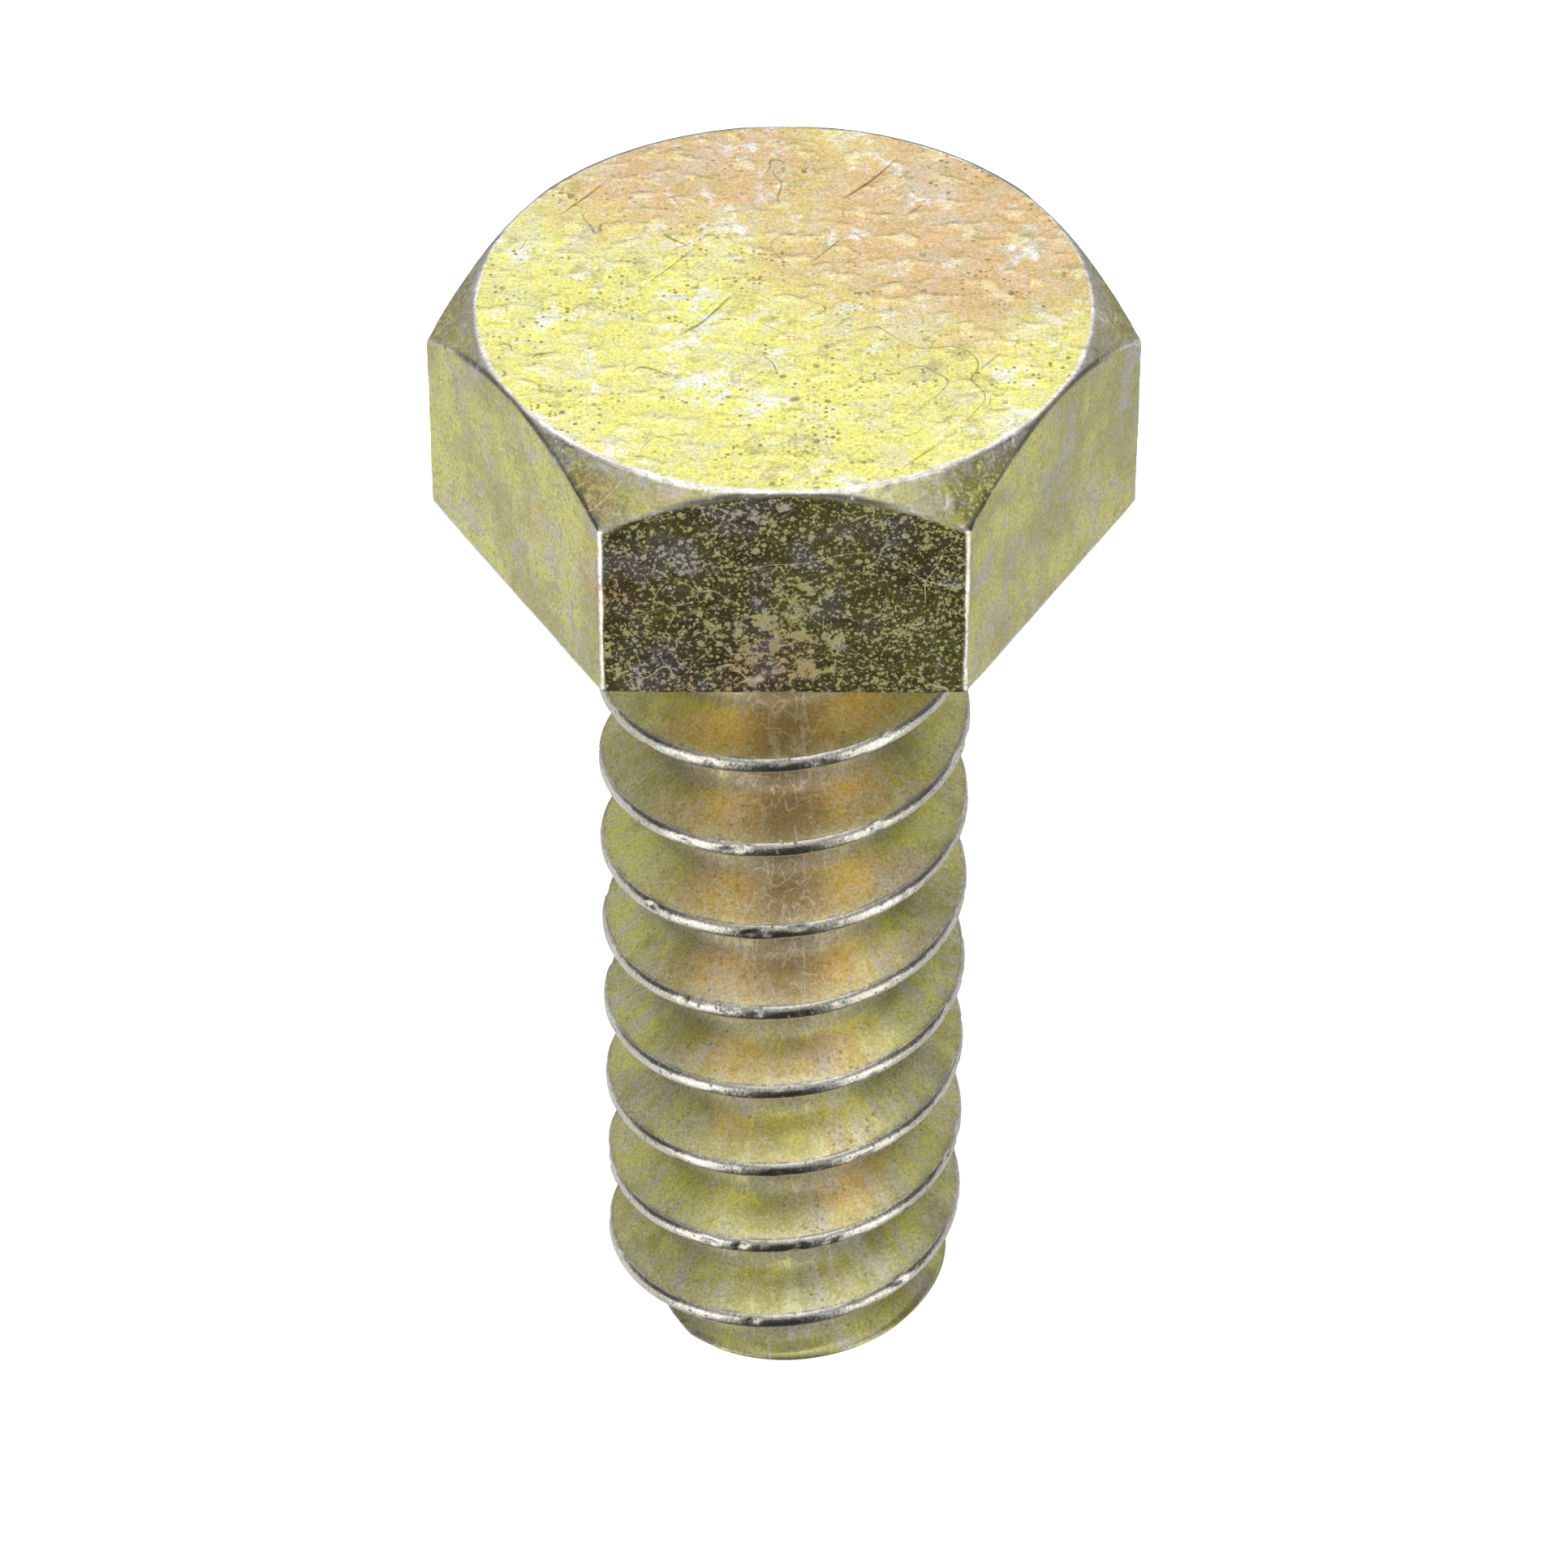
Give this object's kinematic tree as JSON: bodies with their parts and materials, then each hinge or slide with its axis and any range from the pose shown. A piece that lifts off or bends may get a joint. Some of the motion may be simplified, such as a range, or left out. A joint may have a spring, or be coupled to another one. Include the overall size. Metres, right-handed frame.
{
  "type": "hex bolt",
  "caption": "Hexagon head bolt with a chamfered head, a coarse right-hand thread along the whole shank and a chamfered end, in worn yellow zinc plate.",
  "frame": {"origin": "centre of the bearing face, on the underside of the head, on the bolt's axis", "axes": "+Z along the axis, from the threaded end towards the flat top of the head; a flat of the hexagon faces -Y and two of its corners lie on X"},
  "size_m": [0.0184, 0.016, 0.0341],
  "materials": {
    "yellow_zinc": "worn yellow chromate over zinc plate"
  },
  "bodies": {
    "root": {"hex_bolt": "yellow_zinc"}
  },
  "joints": []
}
